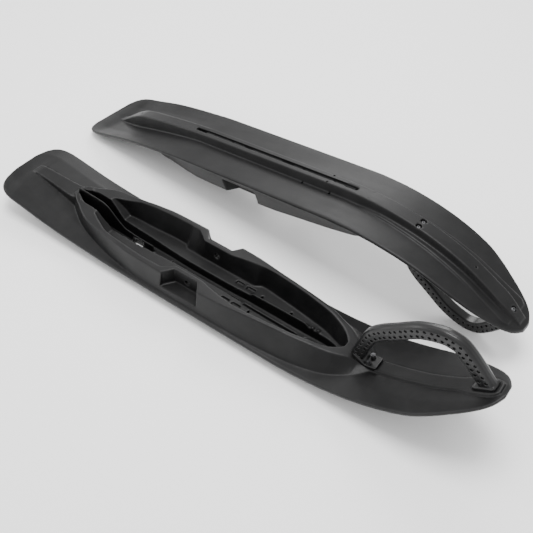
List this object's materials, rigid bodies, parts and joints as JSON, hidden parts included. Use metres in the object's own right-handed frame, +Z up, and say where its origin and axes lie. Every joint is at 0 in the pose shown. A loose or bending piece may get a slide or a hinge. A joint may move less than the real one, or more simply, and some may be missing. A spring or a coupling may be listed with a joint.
{
  "type": "snowmobile ski pair",
  "caption": "Pair of moulded plastic snowmobile skis with upturned tips, an open saddle, a keel and a bolted loop handle; one stands upright, the other lies upside down.",
  "frame": {"origin": "bottom centre of the pair's box, on the floor they rest on", "axes": "+X from tail to tip of the upright ski, +Y towards the ski lying upside down, +Z up"},
  "size_m": [1.1234, 0.466, 0.2225],
  "materials": {
    "body_plastic": "satin black moulded polyethylene with a fine grain",
    "handle_plastic": "semi-gloss black moulded nylon",
    "zinc_steel": "black zinc plated",
    "brass": "plain"
  },
  "bodies": {
    "ski_a": {"a_ski_body": "body_plastic", "a_loop_handle": "handle_plastic", "a_front_head_washer": "zinc_steel", "a_front_screw": "zinc_steel", "a_front_insert": "brass", "a_rear_left_head_washer": "zinc_steel", "a_rear_left_screw": "zinc_steel", "a_rear_left_nut_washer": "zinc_steel", "a_rear_left_nut": "zinc_steel", "a_rear_right_head_washer": "zinc_steel", "a_rear_right_screw": "zinc_steel", "a_rear_right_nut_washer": "zinc_steel", "a_rear_right_nut": "zinc_steel"},
    "ski_b": {"b_ski_body": "body_plastic", "b_loop_handle": "handle_plastic", "b_front_head_washer": "zinc_steel", "b_front_screw": "zinc_steel", "b_front_insert": "brass", "b_rear_left_head_washer": "zinc_steel", "b_rear_left_screw": "zinc_steel", "b_rear_left_nut_washer": "zinc_steel", "b_rear_left_nut": "zinc_steel", "b_rear_right_head_washer": "zinc_steel", "b_rear_right_screw": "zinc_steel", "b_rear_right_nut_washer": "zinc_steel", "b_rear_right_nut": "zinc_steel"}
  },
  "joints": [
    {"name": "ski_b_lift", "type": "slide", "parent": "ski_a", "child": "ski_b", "axis": [0, 0, 1], "range_m": [0, 0.15]}
  ]
}
